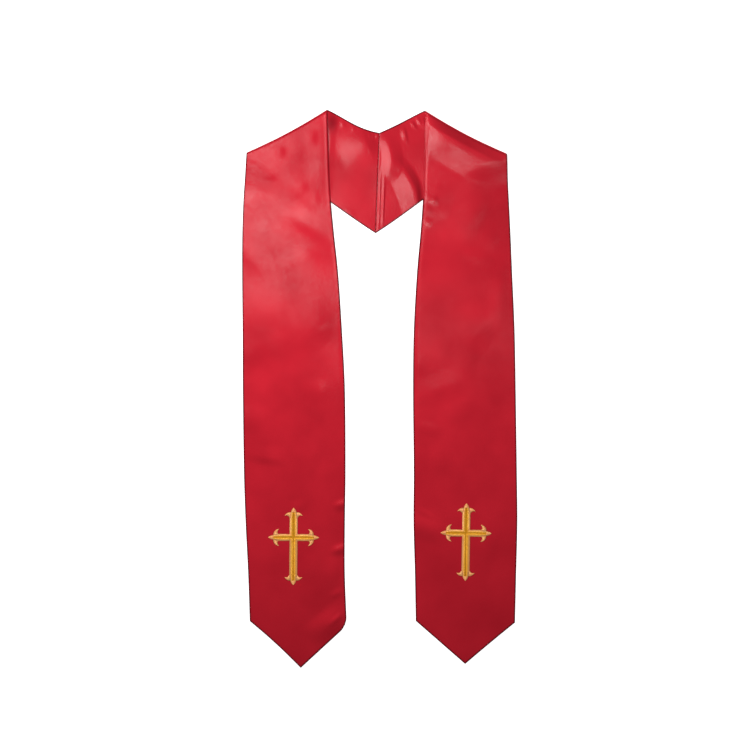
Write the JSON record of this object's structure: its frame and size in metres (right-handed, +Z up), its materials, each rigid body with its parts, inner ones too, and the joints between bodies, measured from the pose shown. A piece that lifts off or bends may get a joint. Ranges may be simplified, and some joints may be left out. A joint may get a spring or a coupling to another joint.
{
  "type": "choir stole",
  "caption": "Satin choir stole laid flat: a lined band turned over at each shoulder, with pointed hems and a raised embroidered cross near each one.",
  "frame": {"origin": "middle of the bounding box, on the surface that the stole lies on", "axes": "+Z up from that surface, +Y from the hems to the shoulders, +X from the left panel to the right one as seen from above"},
  "size_m": [0.3302, 0.6696, 0.0088],
  "materials": {
    "satin": "red polyester satin with a broad soft sheen",
    "lining": "red lining satin, a little shinier than the face",
    "gold_thread": "gold embroidery thread in raised satin stitch"
  },
  "bodies": {
    "root": {"left_face": "satin", "right_face": "satin", "left_lining": "lining", "right_lining": "lining", "left_cross": "gold_thread", "right_cross": "gold_thread"}
  },
  "joints": []
}
